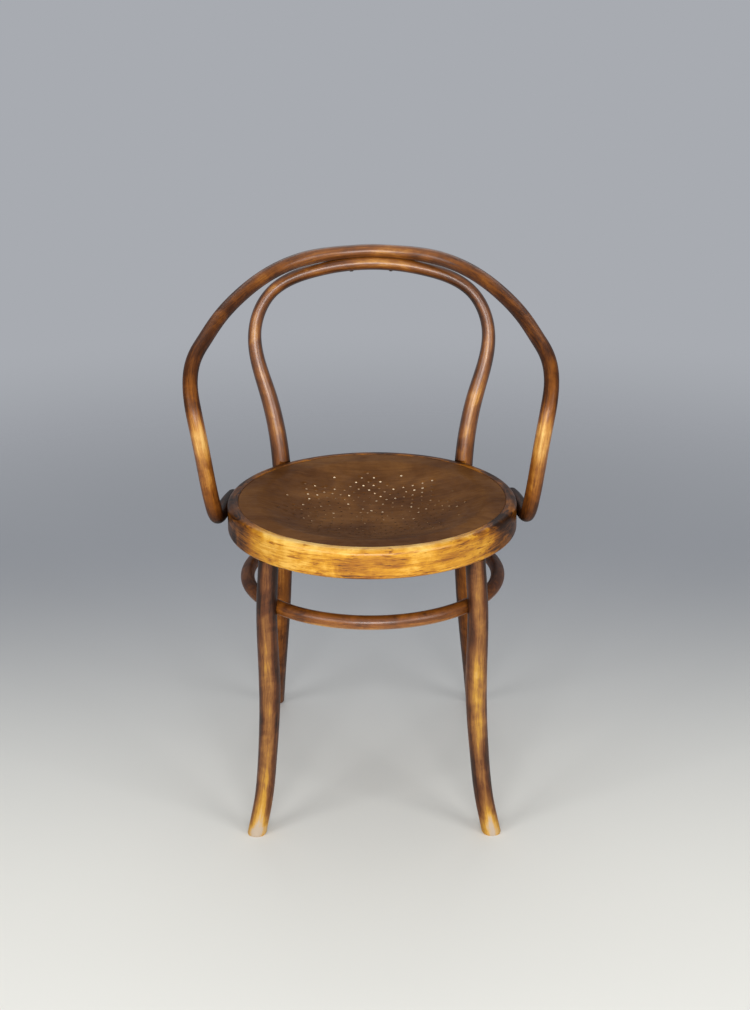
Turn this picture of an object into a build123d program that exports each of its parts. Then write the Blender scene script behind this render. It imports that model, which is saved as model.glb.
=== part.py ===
from build123d import *
import math
import os

# Round-seat bentwood armchair: a perforated plywood panel let into a bent seat ring, one bent rod
# for the rear legs and back hoop, one for the back rail and arms, two turned front legs and a bent
# hoop that ties the legs. Millimetres, +Z up, +Y to the back. The pieces are drawn with the seat's
# axis at X = Y = 0 and the floor at Z = 0, then moved along Y so that the origin lies on the floor
# under the middle of the chair.

# Seat ring and panel
seat_diameter = 422
seat_height = 466
seat_ring_height = 43
seat_ring_width = 38
seat_ring_top_round = 8.5
seat_ring_bottom_round = 4
seat_rim_width = 16
panel_thickness = 4.5
panel_recess = 0.8
panel_clearance = 0.2
panel_flat_edge = 24
panel_dish = 29
panel_lip_share = 0.06

# Punched star in the panel
star_rays = 8
star_row_steps = (4, 4, 3, 2, 1, 1)
star_hole_diameter = 3.2
star_turn = 3.2
star_tip_radius = 135.5
star_corner_radius = 96
star_single_radius = 133

# Hoop that ties the legs
leg_ring_diameter = 369.2
leg_ring_thickness = 20.3
leg_ring_drop = 75
leg_ring_offset = 0.5

# Rear legs and back hoop, one rod
rear_leg_spread = 139.4
rear_leg_diameter = 28.4
rear_leg_notch = 8.4
rear_leg_housing = 1
rear_knee = (0.70, 144.2, 166)
rear_ankle = (0.30, 155.9, 219)
rear_foot = (164.6, 284)
rear_foot_diameter = 24.5
hoop_height = 317.2
hoop_lean = 10.5
hoop_waist = (0.378, 158.6, 25.4)
hoop_widest = (0.69, 177.5, 20)
hoop_shoulder = (0.86, 153.3, 19.2)
hoop_temple_half_width = 84
hoop_diameter = 20.8
hoop_crown_radius = 343

# Back rail and arms, one rod
arm_half_width = 253.6
arm_front = -71
arm_rail_run = 311
arm_rail_slope = 21.4
arm_rail_plan = (
    (0.372, 0.052),
    (0.553, 0.142),
    (0.752, 0.333),
    (0.869, 0.51),
    (0.945, 0.68),
)
arm_bend_plan = (0.965, 0.994, 0.999, 0.982, 0.959, 0.942)
arm_crown_diameter = 20
arm_rail_diameter = 21.5
arm_upright_diameter = 22.8
arm_end_diameter = 21.2
arm_front_bend = 110
arm_lower_bend = 28
arm_foot_gap = 14.2
arm_foot_front = -34
arm_end_flat = 3
arm_end_angles = (8, 19)
arm_end_steps = 4
crown_tilt = 2
crown_flat = 1.8
crown_contact = 30

# Front legs
front_leg_inset = 15
front_leg_angle = 47.8
front_leg_housing = 7.5
front_leg_top_diameter = 28.6
front_leg_ring_diameter = 29.4
front_knee = (0.66, 148.1, -141, 31)
front_shin = (0.33, 154.2, -145, 27.6)
front_ankle = (0.145, 161.5, -150, 26.8)
front_foot = (172, -156.5, 27)
tenon_diameter = 18
tenon_length = 28

# Fits
joint_gap = 0.1
tenon_clearance = 0.15
screw_clearance = 0.1
bolt_clearance = 0.3
thread_clearance = 0.05

# Bolts that hold the rear legs to the seat ring
bolt_diameter = 6
bolt_head_diameter = 13
bolt_head_height = 4
bolt_seat_depth = 1.8
bolt_end = 2
washer_diameter = 16
washer_thickness = 1.5
nut_width = 10
nut_height = 5

# Wood screws: diameter, head diameter, head height, length under the head
arm_screw = (4.5, 9, 3.2, 42)
back_screw = (4, 8, 2.8, 31)
ring_screw = (4, 8, 2.8, 35)
tenon_screw = (3.5, 7, 2.4, 27)
arm_screw_angles = (10, 16)
screw_seat_depth = 1.2
slot_width = 1
slot_depth = 1.1
rod_steps = 2

# Sizes that follow
seat_radius = seat_diameter / 2
seat_underside = seat_height - seat_ring_height
seat_middle = seat_height - seat_ring_height / 2
ring_inner_radius = seat_radius - seat_ring_width
rebate_radius = seat_radius - seat_rim_width
panel_top = seat_height - panel_recess
panel_underside = panel_top - panel_thickness
star_hole_radius = star_hole_diameter / 2
leg_ring_radius = leg_ring_diameter / 2
leg_ring_level = seat_underside - leg_ring_drop
leg_ring_reach = leg_ring_radius + leg_ring_thickness / 2
rod_overrun = 0.25


def polar(radius, angle, z):
    """Point at an angle in degrees from +X, turned towards +Y."""
    return (radius * math.cos(math.radians(angle)), radius * math.sin(math.radians(angle)), z)


def rod(points, diameters, ends):
    """Round rod through the points: circles square to a smooth line, turned as little as can be.

    The line starts and ends in the two directions given.
    """
    line = Spline(*points, tangents=ends)
    marks = [line.param_at_point(Vector(*point)) for point in points]
    stations = []
    for i in range(len(points) - 1):
        for step in range(rod_steps):
            share = step / rod_steps
            place = marks[i] + share * (marks[i + 1] - marks[i])
            stations.append((place, diameters[i] + share * (diameters[i + 1] - diameters[i])))
    stations.append((marks[-1], diameters[-1]))
    side = (line % 0).cross(Vector(0.3, 0.5, 0.8))
    sections = []
    for place, diameter in stations:
        along = line % place
        side = (side - along * side.dot(along)).normalized()
        sections.append(Plane(line @ place, x_dir=side, z_dir=along) * Circle(diameter / 2))
    return loft(sections)


def towards(start, end):
    """Direction from one point to another."""
    return tuple((Vector(*end) - Vector(*start)).normalized())


def bend(before, corner, after, radius):
    """Start, middle and end of the arc that rounds a corner."""
    corner = Vector(*corner)
    back = (Vector(*before) - corner).normalized()
    on = (Vector(*after) - corner).normalized()
    half_turn = math.radians(180 - back.get_angle(on)) / 2
    reach = radius * math.tan(half_turn)
    inward = (back + on).normalized()
    middle = corner + inward * (radius / math.cos(half_turn) - radius)
    return [tuple(corner + back * reach), tuple(middle), tuple(corner + on * reach)]


def past_end(before, end):
    """Point past the end of a rod, in line with its last stretch, so that the end can be cut level."""
    return tuple(e + rod_overrun * (e - b) for b, e in zip(before, end))


def standing(leg):
    """The part of a leg above the floor."""
    return split(leg, bisect_by=Plane.XY, keep=Keep.TOP)


def both_halves(half):
    """A symmetric piece from its right half."""
    return half + mirror(half, about=Plane.YZ)


def aimed(point, direction):
    """Plane at a point with its Z along a direction."""
    return Plane(origin=point, z_dir=direction)


def screw(size):
    """Slotted round-head wood screw: underside of the head at the origin, point towards -Z."""
    diameter, head_diameter, head_height, length = size
    tip = 2 * diameter
    shank = Pos(0, 0, -(length - tip) / 2) * Cylinder(diameter / 2, length - tip)
    point = Pos(0, 0, -length + tip / 2) * Cone(diameter / 10, diameter / 2, tip)
    return shank + point + slotted_head(head_diameter, head_height)


def slotted_head(diameter, height):
    """Domed head on Z = 0 with a slot along X."""
    ball_radius = (diameter**2 / 4 + height**2) / (2 * height)
    ball = Pos(0, 0, height - ball_radius) * Sphere(ball_radius)
    head = split(ball, bisect_by=Plane.XY, keep=Keep.TOP)
    slot = Pos(0, 0, height - slot_depth / 2) * Box(diameter, slot_width, slot_depth)
    return head - slot


def screw_hole(size):
    """Room for a screw: its shank and a flat seat for its head."""
    diameter, head_diameter, head_height, length = size
    bore = Pos(0, 0, -length / 2) * Cylinder(diameter / 2 + screw_clearance, length + screw_clearance)
    seat = Pos(0, 0, 2 * head_height) * Cylinder(head_diameter / 2 + bolt_clearance, 4 * head_height)
    return bore + seat


def cut_by(piece, tools):
    """A piece with holes or housings cut in it, as one solid."""
    for tool in tools:
        piece = piece - tool
    return piece


# Back hoop and rear legs
rear_seat_reach = seat_radius + rear_leg_diameter / 2 - rear_leg_notch
rear_seat_y = math.sqrt(rear_seat_reach**2 - rear_leg_spread**2)
rear_ring_reach = leg_ring_reach + rear_leg_diameter / 2 - rear_leg_housing
rear_ring_y = leg_ring_offset + math.sqrt(rear_ring_reach**2 - rear_leg_spread**2)


def hoop_point(x, height):
    """Point of the leaning hoop at a height above the middle of the seat ring."""
    return (x, rear_seat_y + height * math.tan(math.radians(hoop_lean)), seat_middle + height)


def hoop_top_point(x):
    """Point of the round top of the hoop."""
    return hoop_point(x, hoop_height - x**2 / (2 * hoop_crown_radius))


def level_point(share, x, y):
    """Point of a leg at a share of the leg ring's height."""
    return (x, y, share * leg_ring_level)


# The right half of the rod, from the top of the hoop to the foot
rear_half = [
    hoop_top_point(0),
    hoop_top_point(crown_contact),
    hoop_top_point(hoop_temple_half_width),
    hoop_point(hoop_shoulder[1], hoop_shoulder[0] * hoop_height),
    hoop_point(hoop_widest[1], hoop_widest[0] * hoop_height),
    hoop_point(hoop_waist[1], hoop_waist[0] * hoop_height),
    (rear_leg_spread, rear_seat_y, seat_middle),
    (rear_leg_spread, rear_ring_y, leg_ring_level),
    level_point(*rear_knee),
    level_point(*rear_ankle),
    (*rear_foot, 0),
]
rear_half.append(past_end(rear_half[-2], rear_half[-1]))
rear_half_diameters = [
    hoop_diameter,
    hoop_diameter,
    hoop_diameter,
    hoop_shoulder[2],
    hoop_widest[2],
    hoop_waist[2],
    rear_leg_diameter,
    rear_leg_diameter,
    rear_leg_diameter,
    (rear_leg_diameter + rear_foot_diameter) / 2,
    rear_foot_diameter,
    rear_foot_diameter,
]
rear_ends = [(1, 0, 0), towards(*rear_half[-2:])]
rear_rod = rod(rear_half, rear_half_diameters, rear_ends)

# Back rail and arms: the crown lies on the top of the hoop, the ends run along the seat ring
crown_step = (hoop_diameter + arm_crown_diameter) / 2 - crown_flat
crown_direction = Vector(0, math.sin(math.radians(crown_tilt)), math.cos(math.radians(crown_tilt)))


def above_hoop(x):
    """Point of the rail where it is screwed to the hoop."""
    return tuple(Vector(*hoop_top_point(x)) + crown_direction * crown_step)


crown = above_hoop(0)
slope = math.radians(arm_rail_slope)


def rail_point(x_share, run_share):
    """Point of the sloping rail at shares of its half width and of its run to the front."""
    run = run_share * arm_rail_run
    return (x_share * arm_half_width, crown[1] - run, crown[2] - run * math.tan(slope))


arm_end_reach = seat_radius + arm_end_diameter / 2 - arm_end_flat
rail_half = [rail_point(*shares) for shares in arm_rail_plan]
lower_corner = (seat_radius + arm_foot_gap, arm_foot_front, seat_middle)

# Front bend, seen from the side: an arc from the rail's slope to the line that runs down to the seat
bend_y = arm_front + arm_front_bend
bend_z = crown[2] - (crown[1] - bend_y) * math.tan(slope) - arm_front_bend / math.cos(slope)
bend_far = math.hypot(bend_y - lower_corner[1], bend_z - lower_corner[2])
bend_away = math.atan2(bend_y - lower_corner[1], bend_z - lower_corner[2])
upright_lean = math.asin(arm_front_bend / bend_far) - bend_away


def front_bend_point(share, x_share):
    """Point of the front bend at a share of its turn and of the arms' half width."""
    turn = slope + share * (math.pi / 2 + upright_lean - slope)
    y = bend_y - arm_front_bend * math.sin(turn)
    return (x_share * arm_half_width, y, bend_z + arm_front_bend * math.cos(turn))


bend_steps = len(arm_bend_plan) - 1
bend_half = [front_bend_point(step / bend_steps, x_share) for step, x_share in enumerate(arm_bend_plan)]
end_turn = (arm_end_angles[1] - arm_end_angles[0]) / arm_end_steps
end_turns = [arm_end_angles[0] + step * end_turn for step in range(arm_end_steps + 1)]
end_half = [polar(arm_end_reach, angle, seat_middle) for angle in end_turns]
arm_half = (
    [crown, above_hoop(crown_contact)]
    + rail_half
    + bend_half
    + bend(bend_half[-1], lower_corner, end_half[0], arm_lower_bend)
    + end_half
)
arm_half_diameters = (
    [arm_crown_diameter] * 2
    + [arm_rail_diameter] * (len(rail_half) + len(bend_half) - 3)
    + [arm_upright_diameter] * 4
    + [arm_end_diameter] * (2 + len(end_half))
)
arm_ends = [(1, 0, 0), polar(1, 90 + arm_end_angles[1], 0)]
arm_rod = rod(arm_half, arm_half_diameters, arm_ends)

# Seat ring: a rebated, rounded section turned about the seat's axis
ring_section = make_face(
    Plane.XZ
    * Polyline(
        (ring_inner_radius, seat_underside),
        (seat_radius, seat_underside),
        (seat_radius, seat_height),
        (rebate_radius, seat_height),
        (rebate_radius, panel_underside),
        (ring_inner_radius, panel_underside),
        close=True,
    )
)
outer_corners = ring_section.vertices().sort_by(Axis.X)[-2:].sort_by(Axis.Z)
ring_section = fillet(outer_corners[0], seat_ring_bottom_round)
outer_top = ring_section.vertices().filter_by(lambda v: v.Z > seat_height - 1e-6).sort_by(Axis.X)[-1]
ring_section = fillet(outer_top, seat_ring_top_round)
seat_ring = revolve(ring_section, Axis.Z)
seat_block = Pos(0, 0, seat_middle) * Cylinder(seat_radius + joint_gap, seat_ring_height + 2 * joint_gap)

# Panel: flat edge in the rebate, dished middle, punched star
panel_radius = rebate_radius - panel_clearance
dish_radius = panel_radius - panel_flat_edge


def dished_line(level):
    """Half of the panel's section line at a level: flat edge, a short turn down, then the wide bowl.

    Both ends of the two arcs are level, so the arcs may meet at any share of the chord between the ends.
    """
    rim = Vector(dish_radius, level)
    bottom = Vector(star_hole_radius, level - panel_dish)
    meeting = rim + (bottom - rim) * panel_lip_share
    flat = Line((panel_radius, level), rim)
    lip = TangentArc(rim, meeting, tangent=(-1, 0))
    bowl = TangentArc(meeting, bottom, tangent=lip % 1)
    return [flat, lip, bowl]


top_line = dished_line(panel_top)
low_line = dished_line(panel_underside)
edge_line = Line(low_line[0] @ 0, top_line[0] @ 0)
hole_line = Line(top_line[-1] @ 1, low_line[-1] @ 1)
panel_outline = Curve() + top_line + low_line + [edge_line, hole_line]
panel_blank = revolve(make_face(Plane.XZ * panel_outline), Axis.Z)


def star_points():
    """Hole centres: rows like arrowheads in each ray, smaller towards the middle, and single holes between.

    Each row takes the corner on its near side and leaves the far one to the next ray.
    """
    places = []
    ray_width = 360 / star_rays
    for ray in range(star_rays):
        middle = 90 + star_turn + ray * ray_width
        near = Vector(*polar(star_corner_radius, middle - ray_width / 2, 0))
        far = Vector(*polar(star_corner_radius, middle + ray_width / 2, 0))
        tip = Vector(*polar(star_tip_radius, middle, 0))
        for row, steps in enumerate(star_row_steps):
            size = 1 - row / len(star_row_steps)
            places += [(near + (tip - near) * (i / steps)) * size for i in range(steps + 1)]
            places += [(far + (tip - far) * (i / steps)) * size for i in range(1, steps)]
        places.append(Vector(*polar(star_single_radius, middle - ray_width / 2, 0)))
    return places


hole_level = panel_underside - panel_dish
hole_height = panel_thickness + 2 * panel_dish
hole = extrude(Plane.XY.offset(hole_level) * Circle(star_hole_radius), hole_height)
seat_panel = panel_blank - [Pos(spot.X, spot.Y, 0) * hole for spot in star_points()]


def half_ring(gap):
    """Right half of the leg ring, or of the room for it with a gap all round."""
    section = Plane.XZ * (Pos(leg_ring_radius, 0) * Circle(leg_ring_thickness / 2 + gap))
    from_front = Pos(0, leg_ring_offset, leg_ring_level) * Rot(0, 0, -90)
    return from_front * revolve(section, Axis.Z, 180)


leg_ring_room = half_ring(joint_gap)

# Front legs: a turned tenon in the ring, a housing for the leg ring, a foot that curves outwards
front_top_reach = seat_radius - front_leg_inset
front_ring_reach = leg_ring_reach + front_leg_ring_diameter / 2 - front_leg_housing
front_top = polar(front_top_reach, front_leg_angle - 90, seat_underside)
front_at_ring = Vector(*polar(front_ring_reach, front_leg_angle - 90, leg_ring_level))
front_at_ring = tuple(front_at_ring + Vector(0, leg_ring_offset, 0))
front_points = [
    past_end(front_at_ring, front_top),
    front_top,
    front_at_ring,
    level_point(*front_knee[:3]),
    level_point(*front_shin[:3]),
    level_point(*front_ankle[:3]),
    (*front_foot[:2], 0),
]
front_points.append(past_end(front_points[-2], front_points[-1]))
front_diameters = [
    front_leg_top_diameter,
    front_leg_top_diameter,
    front_leg_ring_diameter,
    front_knee[3],
    front_shin[3],
    front_ankle[3],
    front_foot[2],
    front_foot[2],
]
front_ends = [towards(*front_points[:2]), towards(*front_points[-2:])]
front_rod = rod(front_points, front_diameters, front_ends)
front_shaft = split(standing(front_rod), bisect_by=Plane.XY.offset(seat_underside), keep=Keep.BOTTOM)
tenon = extrude(Plane(front_top) * Circle(tenon_diameter / 2), tenon_length)
mortise_length = tenon_length + tenon_clearance
mortise = extrude(Plane(front_top) * Circle(tenon_diameter / 2 + tenon_clearance), mortise_length)
front_leg_blank = front_shaft + tenon

# Fasteners of the right side: places of the heads' undersides, each with Z out of the head
rear_outward = Vector(rear_leg_spread, rear_seat_y, 0).normalized()
washer_seat = math.sqrt(ring_inner_radius**2 - washer_diameter**2 / 4)
bolt_seat = rear_seat_reach + rear_leg_diameter / 2 - bolt_seat_depth
bolt_length = bolt_seat - washer_seat + washer_thickness + nut_height + bolt_end


def on_rear_axis(reach):
    """Plane across the rear bolt's axis at a distance from the seat's axis."""
    return aimed(tuple(rear_outward * reach + Vector(0, 0, seat_middle)), tuple(rear_outward))


def plate_with_hole(outline, thickness, hole_radius):
    """A washer or nut that reaches from Z = 0 towards -Z."""
    return extrude(outline - Circle(hole_radius), -thickness)


bolt_shank = Pos(0, 0, -bolt_length / 2) * Cylinder(bolt_diameter / 2, bolt_length)
bolt_bore = Pos(0, 0, -bolt_length / 2) * Cylinder(bolt_diameter / 2 + bolt_clearance, bolt_length)
bolt_head_room = extrude(Circle(bolt_head_diameter / 2 + bolt_clearance), 2 * bolt_head_height)
bolt = on_rear_axis(bolt_seat) * (bolt_shank + slotted_head(bolt_head_diameter, bolt_head_height))
bolt_hole = on_rear_axis(bolt_seat) * (bolt_bore + bolt_head_room)
washer_outline = Circle(washer_diameter / 2)
nut_outline = RegularPolygon(nut_width / 2, 6, major_radius=False)
washer = on_rear_axis(washer_seat) * plate_with_hole(
    washer_outline, washer_thickness, bolt_diameter / 2 + bolt_clearance
)
nut = on_rear_axis(washer_seat - washer_thickness) * plate_with_hole(
    nut_outline, nut_height, bolt_diameter / 2 + thread_clearance
)


def seat_in_round(diameter, head_diameter):
    """Distance from a round rod's axis at which a head finds a flat seat all round."""
    return math.sqrt(diameter**2 - head_diameter**2) / 2 - screw_seat_depth / 4


arm_screw_reach = arm_end_reach + seat_in_round(arm_end_diameter, arm_screw[1])
arm_screw_places = [
    aimed(polar(arm_screw_reach, angle, seat_middle), polar(1, angle, 0)) for angle in arm_screw_angles
]
back_screw_drop = crown_direction * seat_in_round(hoop_diameter, back_screw[1])
back_screw_place = aimed(Vector(*hoop_top_point(crown_contact)) - back_screw_drop, -crown_direction)
ring_screw_reach = leg_ring_radius - seat_in_round(leg_ring_thickness, ring_screw[1])


def ring_screw_place(x, y):
    """Place of a screw inside the leg ring that points at a leg."""
    outward = Vector(x, y - leg_ring_offset, 0).normalized()
    return aimed(outward * ring_screw_reach + Vector(0, leg_ring_offset, leg_ring_level), -outward)


front_ring_screw_place = ring_screw_place(*front_at_ring[:2])
rear_ring_screw_place = ring_screw_place(rear_leg_spread, rear_ring_y)
front_inward = Vector(-front_top[0], -front_top[1], 0).normalized()
tenon_screw_reach = ring_inner_radius + screw_seat_depth
tenon_screw_start = Vector(0, 0, seat_underside + tenon_length / 2) - front_inward * tenon_screw_reach
tenon_screw_place = aimed(tenon_screw_start, front_inward)


def pair(piece):
    """A piece of the right side and its mirror image on the left."""
    return [piece, mirror(piece, about=Plane.YZ)]


arm_screw_holes = [place * screw_hole(arm_screw) for place in arm_screw_places]
back_screw_hole = back_screw_place * screw_hole(back_screw)
front_ring_screw_hole = front_ring_screw_place * screw_hole(ring_screw)
rear_ring_screw_hole = rear_ring_screw_place * screw_hole(ring_screw)
tenon_screw_hole = tenon_screw_place * screw_hole(tenon_screw)

# Room for the top of the hoop in the rail: a round groove that bends with the hoop
hoop_up = Vector(*hoop_point(0, hoop_height)) - Vector(*hoop_point(0, 0))
groove_middle = Vector(*hoop_top_point(0)) - hoop_up.normalized() * hoop_crown_radius
groove_place = aimed(groove_middle, Vector(1, 0, 0).cross(hoop_up))
groove = groove_place * Torus(hoop_crown_radius, hoop_diameter / 2 + 2 * joint_gap)

# Finished wooden pieces: the right half is cut, then joined to its mirror image
rear_rooms = [seat_block, leg_ring_room, bolt_hole, back_screw_hole, rear_ring_screw_hole]
rear_frame = both_halves(cut_by(standing(rear_rod), rear_rooms))
arm_rooms = [groove, seat_block, back_screw_hole]
arm_bow = both_halves(cut_by(arm_rod, arm_rooms + arm_screw_holes))
leg_ring = both_halves(cut_by(half_ring(0), [front_ring_screw_hole, rear_ring_screw_hole]))
seat_ring = cut_by(seat_ring, pair(mortise) + pair(tenon_screw_hole) + pair(bolt_hole))
for arm_screw_hole in arm_screw_holes:
    seat_ring = cut_by(seat_ring, pair(arm_screw_hole))
front_leg = cut_by(front_leg_blank, [leg_ring_room, front_ring_screw_hole, tenon_screw_hole])

# Left and right are as seen from the front
nodes = {
    "seat_ring": seat_ring,
    "seat_panel": seat_panel,
    "rear_frame": rear_frame,
    "arm_bow": arm_bow,
    "leg_ring": leg_ring,
    "back_screws": Compound(pair(back_screw_place * screw(back_screw))),
    "front_leg_ring_screws": Compound(pair(front_ring_screw_place * screw(ring_screw))),
    "rear_leg_ring_screws": Compound(pair(rear_ring_screw_place * screw(ring_screw))),
}
sided = {
    "front_leg": front_leg,
    "rear_bolt": bolt,
    "rear_washer": washer,
    "rear_nut": nut,
    "arm_end_screws": Compound([place * screw(arm_screw) for place in arm_screw_places]),
    "tenon_screw": tenon_screw_place * screw(tenon_screw),
}
for name, piece in sided.items():
    right, left = pair(piece)
    nodes[name + "_right"] = right
    nodes[name + "_left"] = left

# The origin goes to the floor under the middle of the chair
depth = Compound([piece for piece in nodes.values()]).bounding_box()
to_middle = Pos(0, -(depth.min.Y + depth.max.Y) / 2, 0)
os.makedirs("parts", exist_ok=True)
for name, piece in nodes.items():
    export_step(to_middle * piece, f"parts/{name}.step")
print("moved along Y by", to_middle.position.Y, "overall", depth.size)
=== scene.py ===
# %% [markdown]
# # A bentwood desk armchair
# The chair is made of a few long beech rods that were steamed and bent: one makes the rear legs and the
# back hoop, one makes the top rail and both arms, and one closed ring ties the legs. A bent seat ring
# carries a dished plywood panel with punched holes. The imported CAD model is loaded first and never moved:
# it says where everything is, and what this script adds is looks.

# %% Load the frame
import bmesh
import bpy
import math
import numpy as np
from mathutils import Matrix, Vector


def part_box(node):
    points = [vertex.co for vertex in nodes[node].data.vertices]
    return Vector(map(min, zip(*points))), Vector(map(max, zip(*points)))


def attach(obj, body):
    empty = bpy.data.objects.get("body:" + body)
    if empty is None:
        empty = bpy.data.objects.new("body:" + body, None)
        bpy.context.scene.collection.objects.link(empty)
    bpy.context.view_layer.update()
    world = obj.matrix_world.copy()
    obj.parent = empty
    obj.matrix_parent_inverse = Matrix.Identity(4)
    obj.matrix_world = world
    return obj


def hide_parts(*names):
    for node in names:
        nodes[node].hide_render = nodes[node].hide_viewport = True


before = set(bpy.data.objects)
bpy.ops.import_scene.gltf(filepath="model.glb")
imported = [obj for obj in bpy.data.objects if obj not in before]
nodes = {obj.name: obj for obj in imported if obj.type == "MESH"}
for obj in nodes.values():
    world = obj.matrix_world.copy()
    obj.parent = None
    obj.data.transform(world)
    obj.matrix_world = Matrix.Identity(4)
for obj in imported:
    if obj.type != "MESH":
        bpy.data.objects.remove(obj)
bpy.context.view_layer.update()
ring_low, ring_high = (np.array(corner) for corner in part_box("seat_ring"))
seat_axis = np.array([0.0, (ring_low[1] + ring_high[1]) / 2, 0.0])
print("CAD nodes:", len(nodes), "seat axis at y =", round(seat_axis[1], 4))

# %% [markdown]
# ## The camera
# The photograph was taken from the front, a little above the arms, from about three metres. The lens and
# place were found by fitting the seat's ellipse, the four feet and the rods. Sizes here are in
# millimetres from the seat's axis, as a tape measure gives them, and `place` turns them into metres in
# the frame of the CAD model.

# %% Camera
MM = 0.001
IMAGE_LONG_SIDE = 1010
SENSOR = 36.0
FAR_CLIP = 50.0
camera_focal_px = 1971.33
camera_spot = np.array([4.29, -2700.0, 1459.26])
camera_pitch, camera_roll, camera_yaw = np.radians([20.418, -0.4656, -0.3298])


def place(points):
    """Seat-centred millimetres to metres in the frame: scale by a thousandth, then add the seat's axis."""
    return np.asarray(points, dtype=float) * MM + seat_axis


def turned(vectors, angle):
    """Vectors turned about Z: (x cos a - y sin a, x sin a + y cos a, z)."""
    c, s = math.cos(angle), math.sin(angle)
    return np.asarray(vectors) @ np.array([[c, s, 0], [-s, c, 0], [0, 0, 1]])


def look_matrix(spot, pitch, roll, yaw):
    """Camera matrix whose columns are right, up, back and the place, rolled about the line of sight."""
    ahead = np.array([0, math.cos(pitch), -math.sin(pitch)])
    up = np.array([0, math.sin(pitch), math.cos(pitch)])
    right = np.array([1.0, 0, 0])
    axes = [
        math.cos(roll) * right + math.sin(roll) * up,
        math.cos(roll) * up - math.sin(roll) * right,
        -ahead,
    ]
    matrix = np.eye(4)
    matrix[:3, :3] = turned(axes, -yaw).T
    matrix[:3, 3] = place(turned(spot, -yaw))
    return Matrix(matrix.tolist())


camera_data = bpy.data.cameras.new("camera")
camera_data.sensor_width = SENSOR
camera_data.lens = camera_focal_px * SENSOR / IMAGE_LONG_SIDE
camera_data.clip_end = FAR_CLIP
camera = bpy.data.objects.new("camera", camera_data)
camera.matrix_world = look_matrix(camera_spot, camera_pitch, camera_roll, camera_yaw)
bpy.context.scene.collection.objects.link(camera)
bpy.context.scene.camera = camera
print("lens", round(camera_data.lens, 2), "mm")

# %% [markdown]
# ## Grids into meshes
# Every new piece is a grid of points worked out as one array: rows run along the piece and columns run
# round it. A grid could be made by hand with extrude and loop cuts, but an array lets the same few lines
# serve every rod. Quads join each point to its neighbours by index sums, and an end that stays open is
# closed by one face.

# %% Mesh helper
SHARP_ANGLE = math.radians(40)


def grid_faces(rows, columns, rows_closed):
    """Quads of a grid that is closed round its columns: corners (i, j), (i, j+1), (i+1, j+1), (i+1, j)."""
    i, j = np.meshgrid(np.arange(rows if rows_closed else rows - 1), np.arange(columns), indexing="ij")
    on, beside = (i + 1) % rows, (j + 1) % columns
    corners = [i * columns + j, i * columns + beside, on * columns + beside, on * columns + j]
    return np.stack([corner.ravel() for corner in corners], axis=1)


def signed_volume(points, quads):
    """Sum of the signed volumes between the origin and each quad: positive where faces point outwards."""
    a, b, c, d = (points[quads[:, k]] for k in range(4))
    return np.einsum("ij,ij->", a, np.cross(b, c) + np.cross(c, d)) / 6


def piece_from_grid(name, grid, rows_closed, attributes, replaced):
    """Mesh object from a grid of points, with point attributes, that stands for a CAD node."""
    rows, columns = grid.shape[:2]
    points = grid.reshape(-1, 3)
    quads = grid_faces(rows, columns, rows_closed)
    inside_out = signed_volume(points - points.mean(axis=0), quads) < 0
    faces = quads[:, ::-1].tolist() if inside_out else quads.tolist()
    if not rows_closed:
        first, last = np.arange(columns), np.arange(columns) + (rows - 1) * columns
        caps = [first[::-1], last] if not inside_out else [first, last[::-1]]
        faces += [cap.tolist() for cap in caps]
    mesh = bpy.data.meshes.new(name)
    mesh.from_pydata(points.tolist(), [], faces)
    mesh.polygons.foreach_set("use_smooth", np.ones(len(faces), dtype=bool))
    mesh.set_sharp_from_angle(angle=SHARP_ANGLE)
    for key, values in attributes.items():
        values = np.ascontiguousarray(values, dtype=np.float32)
        vector = values.ndim == 3
        layer = mesh.attributes.new(key, "FLOAT_VECTOR" if vector else "FLOAT", "POINT")
        layer.data.foreach_set("vector" if vector else "value", values.ravel())
    piece = bpy.data.objects.new(name, mesh)
    bpy.context.scene.collection.objects.link(piece)
    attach(piece, "root")
    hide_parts(replaced)
    print(name, len(points), "points", len(faces), "faces")
    return piece


# %% [markdown]
# ## Sizes of the seat
# The seat's sizes come first, because the rods are notched and flattened against its ring.

# %% Seat sizes
seat_radius, seat_height, ring_height, ring_width = 211.0, 466.0, 43.0, 38.0
rim_width, panel_thickness, panel_recess = 16.0, 4.5, 0.8
joint_gap = 0.1
seat_underside = seat_height - ring_height
seat_middle = seat_height - ring_height / 2
print("seat", 2 * seat_radius, "mm wide and", seat_height, "mm high")

# %% [markdown]
# ## A bent rod
# A steamed rod takes an even curve between the points where the bending form holds it. A cubic spline
# does the same: on each stretch it is a cubic, and the slopes at the points are found from one linear
# system that makes the curvature run on without a jump. Blender's own curve with a bevel could draw a
# tube too, but then the grain could not follow the wood, so the tube is a grid that carries its own grain
# coordinates: the distance along the rod, and two across it.

# %% Rod helpers
ROD_SPACING = 2.0
ROD_COLUMNS = 40
SPLINE_SAMPLES = 6000
GRAIN_STRETCH = 13.0
TINY = 1e-6
TIP_CHAMFER, TIP_DEPTH = 1.5, 1.2
FOOT_CUT, TOP_CUT = 40.0, 30.0
# The way to the front and a little above, where the camera and the front lamp stand: it sets the painted
# shade and painted highlight on the rods.
LIT_FRONT_WAY = np.array([0.0, -0.94, 0.34])
DEEPEST_EDGE = 0.7


def unit(vectors):
    """Vectors divided by their lengths."""
    vectors = np.asarray(vectors, dtype=float)
    return vectors / np.linalg.norm(vectors, axis=-1, keepdims=True)


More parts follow.
